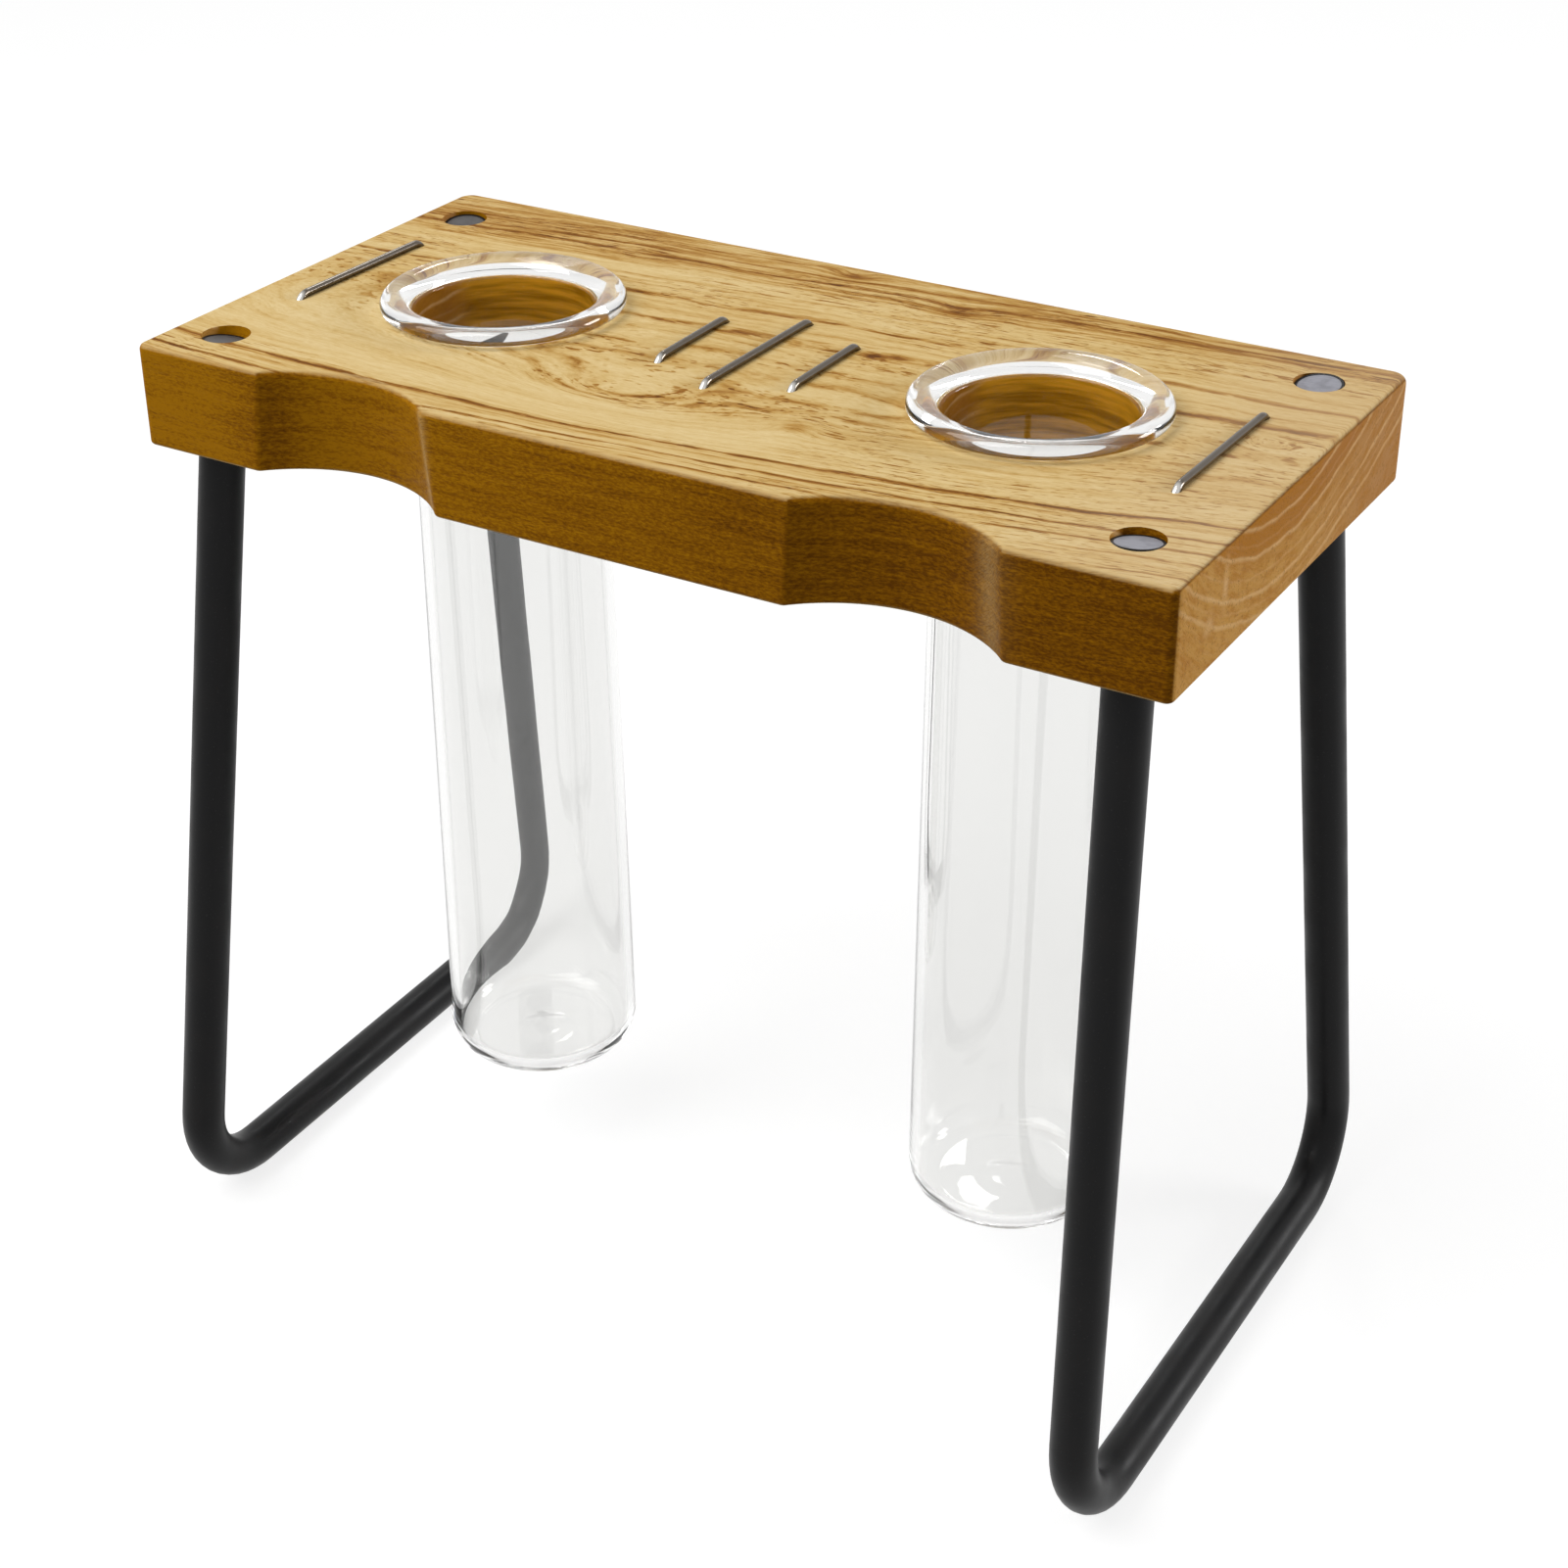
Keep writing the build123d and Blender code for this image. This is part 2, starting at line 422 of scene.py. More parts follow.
# Pale rings of the sawn ends: (radius, paleness, half width)
END_RINGS = (
    (37.0, 0.35, 0.24), (40.0, 0.85, 0.30), (42.0, 0.25, 0.20), (43.4, 0.95, 0.32),
    (46.0, 0.30, 0.24), (48.3, 0.90, 0.34), (49.8, 0.25, 0.24), (51.2, 0.80, 0.36),
)
LINE_SPAN = (16.0, 56.0)
LINES_IN_RAMP = 10                  # a colour ramp holds 32 stops at most

# Small knots: (place, reach, darkness)
KNOTS = (
    ((14.7, 27.9), (2.2, 1.9), 0.75), ((-4.2, 33.4), (1.5, 1.0), 0.85),
    ((16.4, -18.4), (1.7, 1.6), 0.70), ((69.3, 5.7), (1.6, 1.0), 0.60),
)
KNOT_SWELL = 0.9                    # how far a knot pushes the growth lines aside
KNOT_SPREAD = 2.2                   # reach of that push, in reaches of the knot

# The curl of the growth lines between the tubes, and the crowded pores beside it: (place, reach)
CURL = ((-8.0, -21.0), (17.0, 7.0))
CURL_PULL = -2.4
PORE_PATCH = ((2.0, -15.0), (20.0, 4.5))

# Painted shade on the left wall of the left scallop: (place, reach)
PAINTED_SHADE_HOLLOW = ((-54.0, -35.0), (5.0, 3.0))

# Pale spots of the sawn ends: (place as y and depth below the upper face, reach)
WHORL_SPOTS = (((-23.2, 5.0), (0.7, 3.0)), ((-27.6, 8.6), (1.2, 1.0)))

# Middles of the tubes' holes, and the distances between which their walls' colour ends
TUBE_HOLES = ((-39.7, -1.6), (40.3, 0.9))
HOLE_REACH = (15.2, 14.9)

# Painted highlights on the upright corners of the scallops: (place, reach, paleness)
HIGHLIGHT_CORNERS = (((-27.6, -36.6), (0.9, 2.0), 0.75), ((51.2, -35.4), (3.2, 2.0), 0.62))


def growth_field(n, x, y, z, top):
    """Distance from the wandering pith above the board, and the share of the front half."""
    front = n.rise(y, 8.0, -18.0)
    pith_y = n.plus(n.times(x, 0.07), PITH[0])
    pith_up = n.plus(PITH[1], n.times(x, x, 0.0009, front))
    drop = n.less(top, z)
    sideways = n.times(n.less(y, pith_y), n.rise(front, 0.0, 1.0, 0.7, 1.0))
    radius = n.distance(sideways, n.plus(pith_up, drop))
    slow = n.drawn_noise((x, 1 / 38), (y, 1 / 13), (z, 1 / 13), detail=1.0)
    quick = n.drawn_noise((x, 1 / 9), (y, 1 / 4), (z, 1 / 4))
    slow, quick = n.times(n.less(slow, 0.5), 1.8), n.times(n.less(quick, 0.5), 0.6)
    field = n.plus(radius, slow, quick, n.times(n.spot(x, y, *CURL), CURL_PULL))
    for place, reach, _ in KNOTS:
        swell = n.spot(x, y, place, [KNOT_SPREAD * part for part in reach])
        field = n.plus(field, n.times(swell, KNOT_SWELL))
    return field, front


def growth_lines(n, field, lines):
    """Lines at their radii in the field: a sharp inner side and a softer outer side."""
    low, high = LINE_SPAN
    place = n.math("DIVIDE", n.less(field, low), high - low)
    drawn = 0.0
    for start in range(0, len(lines), LINES_IN_RAMP):
        stops = []
        for radius, strength, width in lines[start:start + LINES_IN_RAMP]:
            for offset, level in ((-0.9 * width, 0.0), (0.0, strength), (1.6 * width, 0.0)):
                stops.append(((radius + offset - low) / (high - low), (level, level, level)))
        drawn = n.math("MAXIMUM", n.ramp(place, stops), drawn)
    return drawn


def board_pores(n, x, y, z, field, clean):
    """Short hairlines that follow the growth field, crowded in some places and rare in others."""
    long_pores = n.drawn_noise((x, 1 / 5), (field, 3.4), (y, 0.5), roughness=0.6)
    short_pores = n.drawn_noise((x, 1 / 1.9), (field, 7.5), (y, 1.4), detail=1.0)
    area = n.drawn_noise((x, 1 / 24), (y, 1 / 7), (z, 1 / 7), detail=1.0)
    patch = n.times(n.spot(x, y, *PORE_PATCH), 0.9)
    right_end = n.times(n.rise(x, 42.0, 58.0), n.rise(y, 18.0, 6.0), 0.55)
    crowd = n.plus(n.rise(area, 0.40, 0.64), patch, right_end)
    crowd = n.math("MINIMUM", n.times(crowd, n.rise(clean, 0.0, 1.0, 1.0, 0.08)), 1.0)
    long_pores = n.times(n.rise(long_pores, 0.585, 0.67), n.rise(crowd, 0.0, 1.0, 0.18, 1.0))
    short_pores = n.times(n.rise(short_pores, 0.60, 0.70), n.rise(crowd, 0.0, 1.0, 0.22, 1.0))
    return n.math("MAXIMUM", long_pores, n.times(short_pores, 0.8))


class Board:
    """What all faces of the board share: places in millimetres, growth lines, pores and streaks."""

    def __init__(self, n, top):
        x, y, z = n.millimetres()
        field, front = growth_field(n, x, y, z, top)
        self.x, self.y, self.z = x, y, z
        self.top, self.field = top, field

        # Growth lines, broken up along the grain.
        lines = n.mix(front, growth_lines(n, field, BACK_LINES), growth_lines(n, field, FRONT_LINES))
        breaks = n.drawn_noise((x, 1 / 7), (field, 1.3), (y, 0.1), detail=3.0, roughness=0.65)
        broken = n.rise(breaks, 0.36, 0.56, 0.15, 1.0)
        self.lines = n.times(lines, n.math("MAXIMUM", broken, n.rise(lines, 0.55, 0.90, 0.0, 0.85)))

        # A clean belt in the front half, between two growth lines, and the pores around it.
        belt = n.times(n.rise(field, 21.8, 23.0), n.rise(field, 28.6, 27.0))
        self.clean = n.times(belt, front, n.rise(x, 34.0, 8.0))
        self.pores = board_pores(n, x, y, z, field, self.clean)

        # Streaks of tone along the grain, from broad to fibre fine.
        self.broad = n.drawn_noise((x, 1 / 55), (field, 0.45), (y, 0.05))
        self.narrow = n.drawn_noise((x, 1 / 15), (field, 2.6), (y, 0.2), detail=3.0, roughness=0.65)
        self.fibre = n.drawn_noise((x, 1 / 1.6), (field, 8.0), (y, 2.0), roughness=0.7)


def upper_face(n, board, colours):
    """The upper face: one darkness, read through the wood's own scale of colours."""
    band = n.times(n.rise(board.field, 30.4, 32.6), n.rise(board.y, 12.0, 24.0))
    knots = 0.0
    for place, reach, dark in KNOTS:
        heart = n.spot(board.x, board.y, place, reach)
        knots = n.math("MAXIMUM", knots, n.times(heart, dark))
    darkness = n.plus(
        n.times(n.rise(board.broad, 0.34, 0.68), 0.12),
        n.times(n.rise(board.narrow, 0.38, 0.76), n.rise(board.clean, 0.0, 1.0, 0.24, 0.12)),
        n.rise(board.fibre, 0.30, 0.74, 0.0, 0.14),
        n.times(band, n.rise(board.narrow, 0.34, 0.62, 0.12, 0.30)),
        n.times(board.lines, 0.84), n.times(board.pores, 0.46), n.times(knots, 0.38),
    )
    upper = n.ramp(darkness, [
        (0.00, colours.wood_pale[:]), (0.24, colours.wood_main[:]), (0.46, colours.wood_warm[:]),
        (0.72, colours.wood_line[:]), (1.00, colours.wood_core[:]),
    ])
    return n.mix(n.rise(board.x, 44.0, 72.0, 0.0, 0.30), upper, colours.wood_rosy[:])


def side_faces(n, board, colours):
    """The front, the back and the walls of the holes, with painted light in the holes."""
    x, y, z = board.x, board.y, board.z

    # Deeper long grain with painted shade: paler at the left and darker at the right as the light from
    # the left falls off, and painted shade on the left scallop's wall.
    patches = n.drawn_noise((x, 1 / 13), (y, 0.08), (z, 1.1), detail=3.0, roughness=0.6)
    speckle = n.drawn_noise((x, 1.3), (y, 1.3), (z, 3.4), roughness=0.7)
    tone = n.plus(
        n.times(n.rise(patches, 0.30, 0.72), 0.40), n.times(n.rise(speckle, 0.30, 0.70), 0.62)
    )
    tone = n.plus(
        # Painted shade: the sides darken from the left end towards the right.
        n.less(tone, n.rise(x, -84.0, 80.0, 0.50, -0.26)),
        n.times(board.lines, 0.16), n.times(board.pores, 0.16),
        # Painted shade on the left wall of the left scallop.
        n.times(n.spot(x, y, *PAINTED_SHADE_HOLLOW), 0.5),
    )
    side = n.ramp(tone, [
        (0.0, colours.side_light[:]), (0.5, colours.side_main[:]), (1.0, colours.side_dark[:]),
    ])

    # Walls of the holes: long grain and end grain in turns, painted paler than the sides as light in
    # the holes.
    painted_hole_light = 0.0
    for hole_x, hole_y in TUBE_HOLES:
        away = n.distance(n.less(x, hole_x), n.less(y, hole_y))
        painted_hole_light = n.math("MAXIMUM", painted_hole_light, n.rise(away, *HOLE_REACH))
    wall = n.mix(n.rise(patches, 0.34, 0.68), colours.painted_hole_light[:], colours.side_light[:])
    return n.mix(painted_hole_light, side, wall)


def sawn_ends(n, board, colours):
    """The sawn ends: pale rings on warm brown, deeper between the innermost rings."""
    x, y, z, top = board.x, board.y, board.z, board.top
    depth = n.less(top, z)
    end_y = n.times(n.less(y, END_PITH[0]), n.rise(y, END_PITH[0], 36.0, 1.0, 0.78))
    end_z = n.plus(depth, END_PITH[1])
    wander = n.drawn_noise((x, 0.02), (y, 0.16), (z, 0.16))
    ring = n.plus(n.distance(end_y, end_z), n.times(n.less(wander, 0.5), 1.3))
    mottle = n.drawn_noise((x, 0.02), (y, 0.30), (ring, 0.9), detail=4.0, roughness=0.65)
    end = n.mix(n.rise(ring, 45.5, 42.0), colours.end_main[:], colours.end_dark[:])
    end = n.mix(n.rise(y, -14.0, 34.0, 0.0, 0.60), end, colours.end_back[:])
    end = n.mix(n.rise(mottle, 0.40, 0.68, 0.0, 0.75), end, colours.end_dark[:])
    pale = n.times(growth_lines(n, ring, END_RINGS), n.rise(mottle, 0.30, 0.66, 1.0, 0.70))
    whorl = 0.0
    for place, reach in WHORL_SPOTS:
        whorl = n.math("MAXIMUM", whorl, n.spot(y, depth, place, reach))
    pale = n.math("MAXIMUM", pale, n.times(whorl, n.rise(mottle, 0.35, 0.60, 0.2, 0.8)))
    end = n.mix(pale, end, colours.end_line[:])
    dots = n.drawn_noise((x, 0.1), (y, 2.6), (z, 2.6), detail=1.0)
    return n.mix(n.rise(dots, 0.58, 0.72, 0.0, 0.45), end, colours.wood_line[:])


def wear_and_highlight_share(n, board, facing_x, facing_z):
    """Where hands have rubbed the wood pale along its long upper edges, and a painted highlight on the
    scallops' upright corners.
    """
    edges = n.times(n.rise(facing_z, 0.22, 0.55), n.rise(facing_z, 0.985, 0.90))
    rubbed = n.times(edges, n.rise(facing_x, 0.45, 0.15))
    # Painted highlight on the scallops' upright corners.
    for place, reach, share in HIGHLIGHT_CORNERS:
        corner = n.spot(board.x, board.y, place, reach)
        rubbed = n.math("MAXIMUM", rubbed, n.times(corner, n.rise(facing_z, 0.9, 0.6), share))
    return n.times(rubbed, n.rise(board.fibre, 0.30, 0.66, 0.25, 0.60))


def wood_material(colours, top_height):
    """Oiled hardwood: one board's grain on all faces, with a colour of its own for each kind."""
    material, n = new_material("oiled_wood")
    board = Board(n, top_height / MM)
    normal = n.normal()
    facing_x, facing_z = n.math("ABSOLUTE", normal[0]), n.math("ABSOLUTE", normal[2])
    upper, side = upper_face(n, board, colours), side_faces(n, board, colours)
    base = n.mix(n.rise(facing_z, 0.88, 0.50), upper, side)
    base = n.mix(n.rise(facing_x, 0.80, 0.95), base, sawn_ends(n, board, colours))
    base = n.mix(wear_and_highlight_share(n, board, facing_x, facing_z), base, colours.edge[:])
    height = n.plus(
        n.times(board.pores, -1.0), n.times(board.lines, -0.7), n.times(board.fibre, 0.35)
    )
    n.surface(
        Base_Color=base,
        Roughness=n.rise(board.narrow, 0.3, 0.7, 0.50, 0.64),
        Specular_IOR_Level=0.05,
        Normal=n.bump(height, 0.35, 0.12),
    )
    return material


# ---------------------------------------------------------------- other finishes

def rod_material(colours):
    """Satin black coat with a fine orange peel and faint rubbed patches."""
    material, n = new_material("satin_black_coat")
    x, y, z = n.millimetres()
    place = n.join(x, y, z)
    peel = n.noise(place, scale=1.1, detail=3.0, roughness=0.6)
    patches = n.noise(place, scale=0.16, detail=2.0)
    specks = n.rise(n.noise(place, scale=3.5, detail=1.0), 0.66, 0.76)
    base = n.mix(n.rise(patches, 0.4, 0.7, 0.0, 0.3), colours.rod[:], colours.rod_rubbed[:])
    base = n.mix(n.times(specks, 0.3), base, colours.rod_speck[:])
    n.surface(
        Base_Color=base,
        Roughness=n.rise(patches, 0.3, 0.7, 0.34, 0.46),
        Specular_IOR_Level=0.14,
        Normal=n.bump(peel, 0.2, 0.04),
    )
    return material


def sawn_steel_material(name, shade):
    """Sawn steel end of a rod: straight saw marks and a dull tarnish."""
    material, n = new_material(name)
    x, y, z = n.millimetres()
    marks = n.drawn_noise((x, 0.35), (y, 5.0), (z, 1.0), roughness=0.7)
    tarnish = n.noise(n.join(x, y, z), scale=0.6, detail=2.0)
    dull = [part * 0.55 for part in shade]
    base = n.mix(n.rise(tarnish, 0.40, 0.75, 0.0, 0.6), shade[:], dull)
    base = n.mix(n.rise(marks, 0.45, 0.7, 0.0, 0.35), base, dull)
    n.surface(
        Base_Color=base,
        Metallic=0.25,
        Roughness=0.6,
        Normal=n.bump(marks, 0.3, 0.04),
    )
    return material


def wire_material(colours):
    """Drawn steel wire with fine lines along it, and a painted highlight at its front bends."""
    material, n = new_material("bright_drawn_wire")
    x, y, z = n.millimetres()
    drawn = n.drawn_noise((x, 6.0), (y, 0.25), (z, 6.0), detail=1.0)
    stain = n.noise(n.join(x, n.times(y, 0.4), z), scale=0.7, detail=2.0)
    base = n.mix(n.rise(stain, 0.45, 0.75, 0.0, 0.5), colours.wire[:], colours.wire_stain[:])
    # Painted highlight: the wire turns paler where its surface faces the front.
    front_highlight_share = n.times(n.normal()[1], -1.0)
    base = n.mix(n.rise(front_highlight_share, 0.15, 0.50), base, colours.wire_front_highlight[:])
    n.surface(
        Base_Color=base,
        Metallic=1.0,
        Roughness=n.rise(stain, 0.3, 0.7, 0.10, 0.20),
        Normal=n.bump(drawn, 0.12, 0.02),
    )
    return material


def glass_material(colours):
    """Clear glass with the faint upright lines of a drawn tube."""
    material, n = new_material("clear_drawn_glass")
    x, y, z = n.millimetres()
    draw = n.drawn_noise((x, 0.25), (y, 0.25), (z, 0.012), detail=1.0)
    haze = n.noise(n.join(x, y, n.times(z, 0.3)), scale=0.12, detail=2.0)
    n.surface(
        Base_Color=colours.glass[:],
        Roughness=n.rise(haze, 0.5, 0.8, 0.0, 0.02),
        Transmission_Weight=1.0,
        IOR=1.52,
        Normal=n.bump(draw, 0.05, 0.2),
    )
    return material


# ---------------------------------------------------------------- pieces

def stand_matrix(sizes, side):
    """Where a stand's own frame lies: turned a little and shifted along y."""
    turn = sizes.left_turn if side == "left" else sizes.right_turn
    shift = sizes.left_shift if side == "left" else sizes.right_shift
    place = Matrix.Translation((SIDES[side] * sizes.leg_top_x, shift, 0))
    return place @ Matrix.Rotation(turn, 4, "Z")


def leg_points(sizes, side, end):
    """Foot corner and upper end of a leg's centre line."""
    sign = SIDES[side]
    recess = sizes.left_recess if side == "left" else sizes.right_recess
    foot_x = sign * (sizes.leg_foot_x - sizes.leg_top_x)
    foot = Vector((foot_x, end * sizes.leg_foot_y, sizes.rod_diameter / 2))
    face = Vector((0, end * sizes.leg_top_y, sizes.top_height))
    upper = face - (face - foot).normalized() * recess
    matrix = stand_matrix(sizes, side)
    return matrix @ foot, matrix @ upper


def pull(step):
    """Extrudes what is selected by a step."""
    bpy.ops.mesh.extrude_region_move(TRANSFORM_OT_translate={"value": step})


def bend(arriving, leaving, start, radius, steps):
    """Spins what is selected round a bend, from one direction to the other."""
    axis = arriving.cross(leaving).normalized()
    turn = arriving.angle(leaving)
    centre = start + axis.cross(arriving) * radius
    bpy.ops.mesh.spin(steps=steps, angle=-turn, center=centre, axis=axis)
    return centre - axis.cross(leaving) * radius


def build_stand(sizes, side, coat, sawn):
    """One rod: a disc at the front leg's top, pulled and bent to the back leg's top."""
    front_foot, front_top = leg_points(sizes, side, -1)
    back_foot, back_top = leg_points(sizes, side, 1)
    down = (front_foot - front_top).normalized()
    across = (back_foot - front_foot).normalized()
    up = (back_top - back_foot).normalized()
    radius = sizes.rod_diameter / 2
    first_cut = sizes.bend_radius * math.tan(down.angle(across) / 2)
    second_cut = sizes.bend_radius * math.tan(across.angle(up) / 2)

    deselect_all()
    bpy.ops.mesh.primitive_circle_add(
        vertices=sizes.rod_sides, radius=radius, fill_type="NGON",
        location=front_top, rotation=down.to_track_quat("Z", "Y").to_euler(),
    )
    piece = bpy.context.active_object
    bpy.ops.object.transform_apply(location=True, rotation=True, scale=True)
    enter_edit(piece)
    bpy.ops.mesh.select_all(action="SELECT")
    bend_start = front_foot - down * first_cut
    pull(bend_start - front_top)
    bend_end = bend(down, across, bend_start, sizes.bend_radius, BEND_STEPS)
    next_start = back_foot - across * second_cut
    pull(next_start - bend_end)
    bend_end = bend(across, up, next_start, sizes.bend_radius, BEND_STEPS)
    pull(back_top - bend_end)
    leave_edit()
    give_material(piece, coat, sawn)
    for top, along in ((front_top, -down), (back_top, up)):
        enter_edit(piece)
        select_faces(
            piece,
            lambda middle, normal: (middle - top).length < radius and abs(normal.dot(along)) > FACING,
        )
        bpy.ops.mesh.inset(thickness=sizes.coat / 2)
        bpy.ops.mesh.inset(thickness=sizes.coat / 2)
        pull(-along * sizes.sawn_step)
        bpy.context.object.active_material_index = 1
        bpy.ops.object.material_slot_assign()
        leave_edit()
    enter_edit(piece)
    bpy.ops.mesh.select_all(action="SELECT")
    bpy.ops.mesh.normals_make_consistent(inside=False)
    leave_edit()
    return settle(piece, side + "_rod")


def tube_outline(sizes):
    """Corners of the tube's half section, from the axis below to the axis inside."""
    foot_z = sizes.top_height - sizes.tube_depth
    neck_z = sizes.top_height - sizes.neck_length
    seat_z = sizes.top_height + sizes.seat_gap
    rim_z = sizes.top_height + sizes.rim_height
    floor_z = foot_z + sizes.floor_thickness
    neck = sizes.neck_diameter / 2
    bore = neck - sizes.glass
    foot = sizes.foot_diameter / 2
    rim = sizes.rim_diameter / 2
    return [
        # (distance from the axis, height, radius of the corner, steps of its rounding)
        (0, foot_z + sizes.dimple_height, 0, 0),
        (sizes.dimple_diameter / 4, foot_z + sizes.dimple_height, sizes.dimple_blend, 4),
        (sizes.dimple_diameter / 2, foot_z, sizes.dimple_blend, 4),
        (foot, foot_z, sizes.heel_radius, 12),
        (neck, neck_z, sizes.taper_blend, 4),
        (neck, seat_z, sizes.rim_small, 4),
        (neck + sizes.rim_seat, seat_z, sizes.rim_small, 4),
        (rim, sizes.top_height + sizes.rim_edge_rise, sizes.rim_small, 6),
        (rim, rim_z, sizes.rim_upper, 8),
        (bore, rim_z, sizes.mouth, 10),
        (bore, neck_z, sizes.taper_blend, 4),
        (foot - sizes.glass, floor_z, sizes.inner_heel, 10),
        (0, floor_z, 0, 0),
    ]


def build_tube(sizes):
    """A tube on the world's axis: its half section is drawn, its corners rounded, and spun."""
    corners = tube_outline(sizes)
    points = [Vector((distance, 0, height)) for distance, height, radius, steps in corners]
    deselect_all()
    bpy.ops.mesh.primitive_plane_add(size=MM, location=points[0])
    piece = bpy.context.active_object
    bpy.ops.object.transform_apply(location=True, rotation=True, scale=True)
    enter_edit(piece)
    bpy.ops.mesh.select_mode(type="VERT")
    bpy.ops.mesh.select_all(action="SELECT")
    bpy.ops.mesh.merge(type="CENTER")
    for start, end in zip(points, points[1:]):
        pull(end - start)
    for index in range(1, len(points) - 1):
        radius, steps = corners[index][2:]
        turn = (points[index] - points[index - 1]).angle(points[index + 1] - points[index])
        select_vertices(piece, lambda place: (place - points[index]).length < SAME_PLACE)
        bpy.ops.mesh.bevel(
            affect="VERTICES", offset=radius * math.tan(turn / 2), segments=steps, profile=0.5,
            clamp_overlap=False,
        )
    bpy.ops.mesh.select_all(action="SELECT")
    bpy.ops.mesh.spin(
        steps=sizes.tube_sides, angle=math.tau, center=(0, 0, 0), axis=(0, 0, 1),
        use_auto_merge=True,
    )
    bpy.ops.mesh.select_all(action="SELECT")
    bpy.ops.mesh.remove_doubles(threshold=SAME_PLACE)
    bpy.ops.mesh.normals_make_consistent(inside=False)
    leave_edit()
    return piece


# ---------------------------------------------------------------- operators

class VASE_OT_wood(bpy.types.Operator):
    """Gives the wooden top its oiled grain"""

    bl_idname = "vase.wood"
    bl_label = "Wooden top"

    def execute(self, context):
        scene = context.scene
        material = wood_material(scene.vase_colours, scene.vase_sizes.top_height)
        give_material(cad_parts["wooden_top"], material)
        return {"FINISHED"}


class VASE_OT_stands(bpy.types.Operator):
    """Bends the two coated rods with their sawn ends"""

    bl_idname = "vase.stands"
    bl_label = "Rod stands"

    def execute(self, context):
        scene = context.scene
        coat = rod_material(scene.vase_colours)
        sawn = {
            "left": sawn_steel_material("tarnished_sawn_steel", scene.vase_colours.left_sawn),
            "right": sawn_steel_material("sawn_steel", scene.vase_colours.right_sawn),
        }
        for side in SIDES:
            piece = build_stand(scene.vase_sizes, side, coat, sawn[side])
            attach(piece, "frame")
            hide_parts(side + "_stand")
        return {"FINISHED"}


class VASE_OT_tubes(bpy.types.Operator):
    """Spins the two glass tubes with their rolled rims"""

    bl_idname = "vase.tubes"
    bl_label = "Glass tubes"

    def execute(self, context):
        scene = context.scene
        glass = glass_material(scene.vase_colours)
        first = build_tube(scene.vase_sizes)
        deselect_all()
        first.select_set(True)
        bpy.ops.object.duplicate()
        second = context.selected_objects[0]
        for side, piece in zip(SIDES, (first, second)):
            low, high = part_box(side + "_tube")
            middle = (low + high) / 2
            piece.location = (middle.x, middle.y, 0)
            settle(piece, side + "_glass")
            give_material(piece, glass)
            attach(piece, side + "_vessel")
            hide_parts(side + "_tube")
        return {"FINISHED"}


class VASE_OT_staples(bpy.types.Operator):
    """Gives the wire staples their drawn steel"""

    bl_idname = "vase.staples"
    bl_label = "Wire staples"

    def execute(self, context):
        wire = wire_material(context.scene.vase_colours)
        for name in STAPLES:
            give_material(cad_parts[name], wire)
        return {"FINISHED"}


class VASE_OT_stage(bpy.types.Operator):
    """Lays the pale floor and sets the sky, the soft lights and the camera"""

    bl_idname = "vase.stage"
    bl_label = "Stage"

    def execute(self, context):
        scene = context.scene
        stage = scene.vase_stage
        lay_floor(scene.vase_colours, stage)
        set_sky(scene, stage)
        for (name, place, size), power in zip(SOFT_BOXES, (stage.key, stage.side, stage.back)):
            add_soft_box(name, place, size, power)
        set_camera(scene, stage)
        scene.cycles.max_bounces = MOST_BOUNCES
        scene.cycles.glossy_bounces = GLASS_BOUNCES
        scene.cycles.transmission_bounces = GLASS_BOUNCES
        scene.view_settings.view_transform = "Standard"
        return {"FINISHED"}


def seen_directly(n):
    """1 for rays that show the white surroundings: to the camera, in a reflection or through glass."""
    path = n.add("ShaderNodeLightPath")
    seen = path.outputs["Is Camera Ray"]
    for name in ("Is Glossy Ray", "Is Transmission Ray"):
        seen = n.math("MAXIMUM", seen, path.outputs[name])
    return seen


def lit_or_shown(n, lit, shown):
    """What lights the vase, with another shader in its place where it is seen directly."""
    both = n.add("ShaderNodeMixShader")
    for socket, given in zip(both.inputs, (seen_directly(n), lit.outputs[0], shown.outputs[0])):
        n.put(socket, given)
    return both.outputs[0]


def lay_floor(colours, stage):
    deselect_all()
    bpy.ops.mesh.primitive_plane_add(size=FLOOR_SIZE, location=(0, 0, 0))
    floor = bpy.context.active_object
    floor.name = "floor"
    material, n = new_material("pale_floor")
    plain = n.add("ShaderNodeBsdfDiffuse", Color=colours.floor[:])
    dim = n.add("ShaderNodeBsdfDiffuse", Color=FLOOR_GREY)
    glow = n.add("ShaderNodeEmission", Color=WHITE, Strength=stage.floor_glow)
    white = n.add("ShaderNodeAddShader")
    n.put(white.inputs[0], dim.outputs[0])
    n.put(white.inputs[1], glow.outputs[0])
    n.output(lit_or_shown(n, plain, white))
    floor.data.materials.append(material)


def set_sky(scene, stage):
    world = bpy.data.worlds.new("even_sky")
    scene.world = world
    n = Nodes(world)
    light = n.add("ShaderNodeBackground", Color=WHITE, Strength=stage.sky)
    white = n.add("ShaderNodeBackground", Color=WHITE, Strength=1.0)
    n.add("ShaderNodeOutputWorld", Surface=lit_or_shown(n, light, white))


def add_soft_box(name, place, size, power):
    """A square soft box that faces the middle of the vase."""
    deselect_all()
    aim = Vector(LIGHTS_AIM) - Vector(place)
    turn = aim.to_track_quat("-Z", "Y").to_euler()
    bpy.ops.object.light_add(type="AREA", location=place, rotation=turn)
    lamp = bpy.context.active_object
    lamp.name = name
    lamp.data.shape = "SQUARE"
    lamp.data.size = size
    lamp.data.energy = power


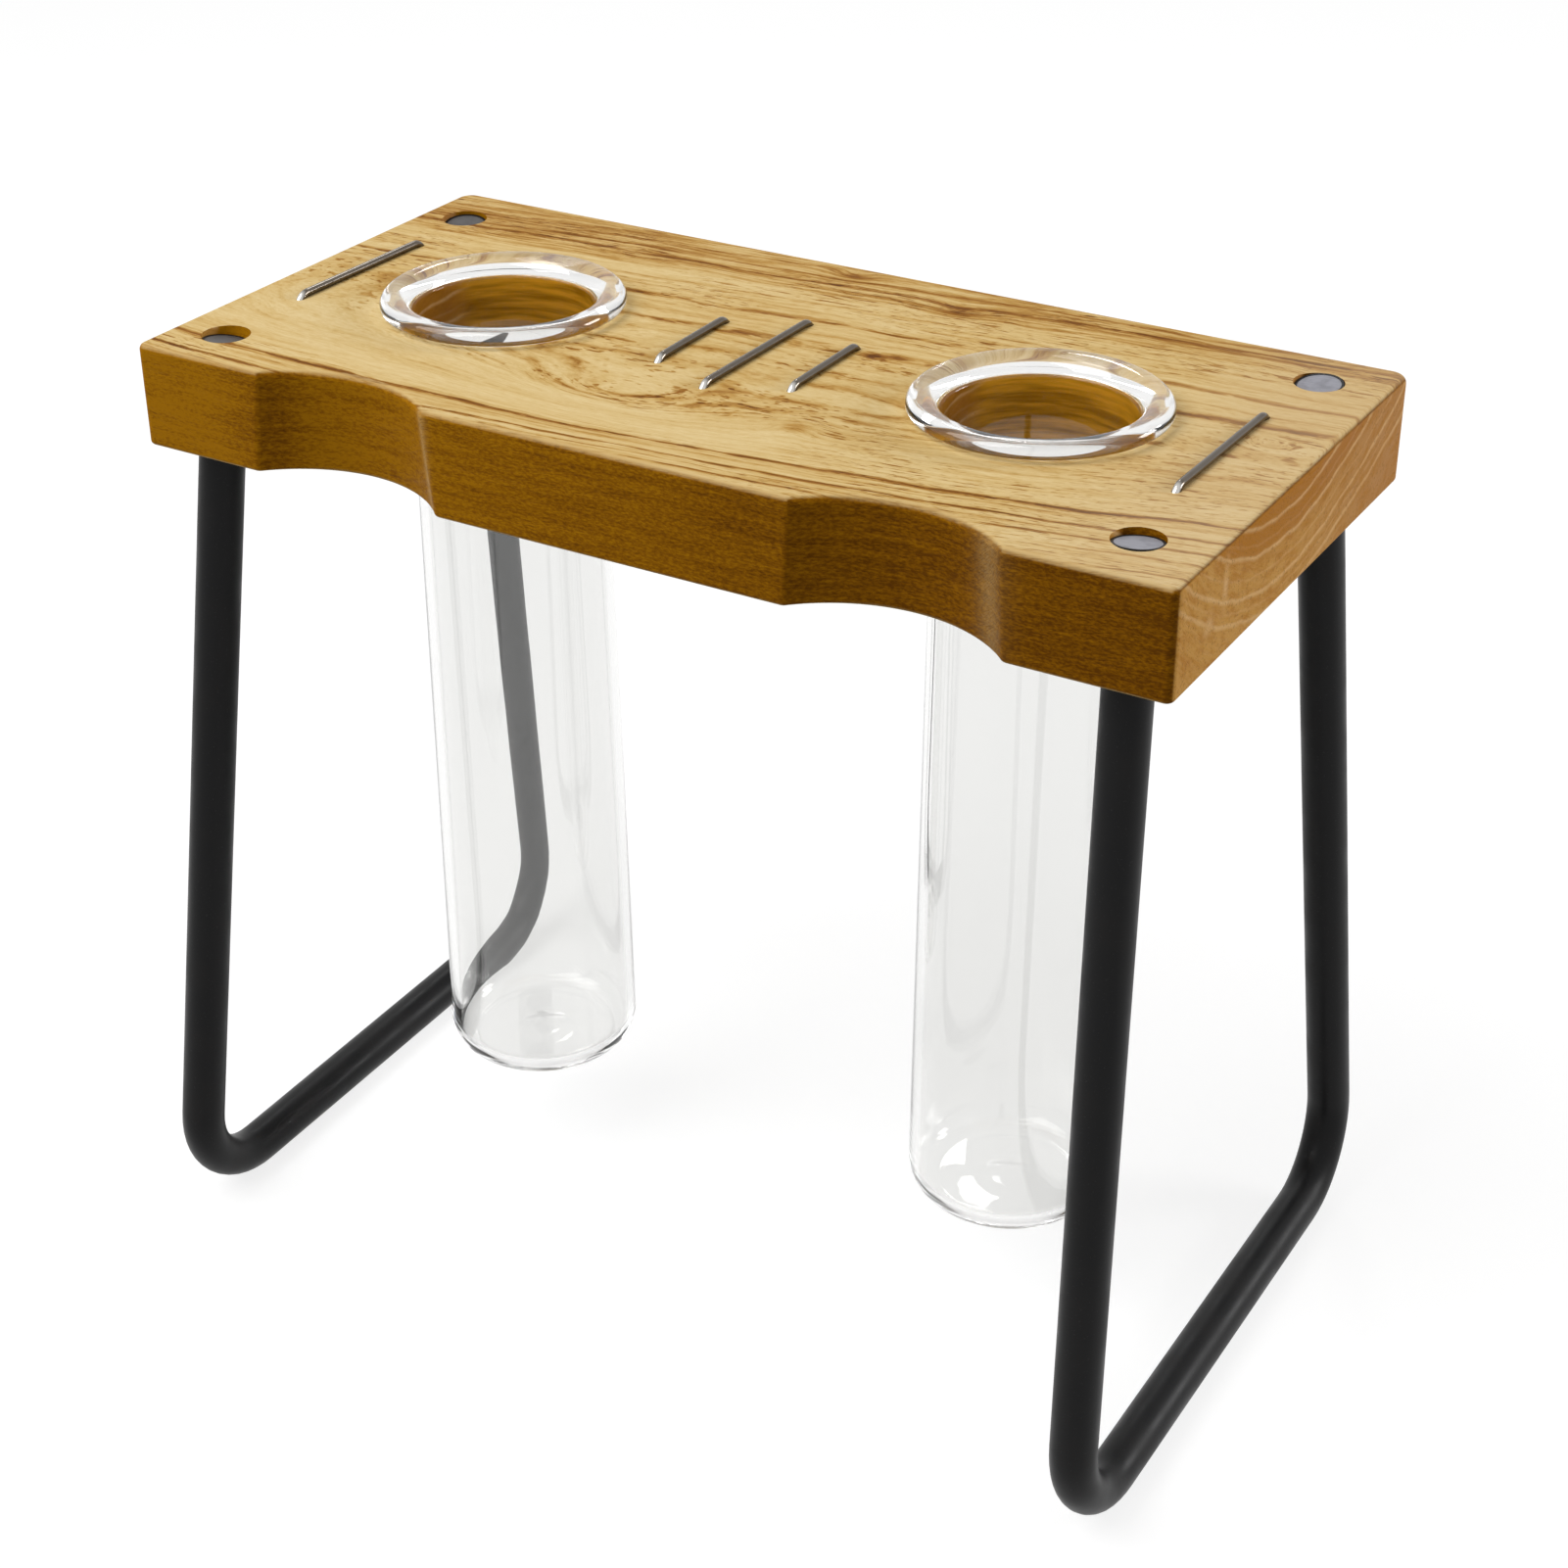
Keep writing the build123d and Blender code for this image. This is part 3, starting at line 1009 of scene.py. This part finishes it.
def set_camera(scene, stage):
    """The photograph's camera: a pinhole that looks down at the front right corner."""
    level = Vector((math.cos(stage.azimuth), math.sin(stage.azimuth), 0))
    away = Vector((math.sin(stage.azimuth), -math.cos(stage.azimuth), 0))
    back = away * math.cos(stage.elevation) + Vector((0, 0, math.sin(stage.elevation)))
    up = back.cross(level)
    right = level * math.cos(stage.roll) + up * math.sin(stage.roll)
    turned_up = up * math.cos(stage.roll) - level * math.sin(stage.roll)
    rotation = Matrix((right, turned_up, back)).transposed()
    deselect_all()
    bpy.ops.object.camera_add(
        location=(stage.camera_x, stage.camera_y, stage.camera_z), rotation=rotation.to_euler()
    )
    camera = bpy.context.active_object
    camera.name = "camera"
    camera.data.lens = stage.lens
    camera.data.sensor_width = SENSOR_WIDTH
    camera.data.clip_start, camera.data.clip_end = CLIP_RANGE
    scene.camera = camera


class VASE_PT_panel(bpy.types.Panel):
    """Lists the steps that finish the vase"""

    bl_label = "Test Tube Vase"
    bl_idname = "VASE_PT_panel"
    bl_space_type = "VIEW_3D"
    bl_region_type = "UI"
    bl_category = "Vase"

    def draw(self, context):
        for operator in OPERATORS:
            self.layout.operator(operator.bl_idname)


OPERATORS = (VASE_OT_wood, VASE_OT_stands, VASE_OT_tubes, VASE_OT_staples, VASE_OT_stage)
GROUPS = (VaseSizes, VaseColours, VaseStage)


def register():
    for cls in (*GROUPS, *OPERATORS, VASE_PT_panel):
        bpy.utils.register_class(cls)
    bpy.types.Scene.vase_sizes = PointerProperty(type=VaseSizes)
    bpy.types.Scene.vase_colours = PointerProperty(type=VaseColours)
    bpy.types.Scene.vase_stage = PointerProperty(type=VaseStage)


def unregister():
    del bpy.types.Scene.vase_sizes
    del bpy.types.Scene.vase_colours
    del bpy.types.Scene.vase_stage
    for cls in (VASE_PT_panel, *reversed(OPERATORS), *reversed(GROUPS)):
        bpy.utils.unregister_class(cls)


def clear_start_objects():
    """Takes away the cube, lamp and camera that a new Blender file starts with."""
    for name in ("Cube", "Light", "Camera"):
        if name in bpy.data.objects:
            bpy.data.objects.remove(bpy.data.objects[name])


def main():
    clear_start_objects()
    register()
    bpy.ops.vase.wood()
    bpy.ops.vase.stands()
    bpy.ops.vase.tubes()
    bpy.ops.vase.staples()
    bpy.ops.vase.stage()


if __name__ == "__main__":
    main()
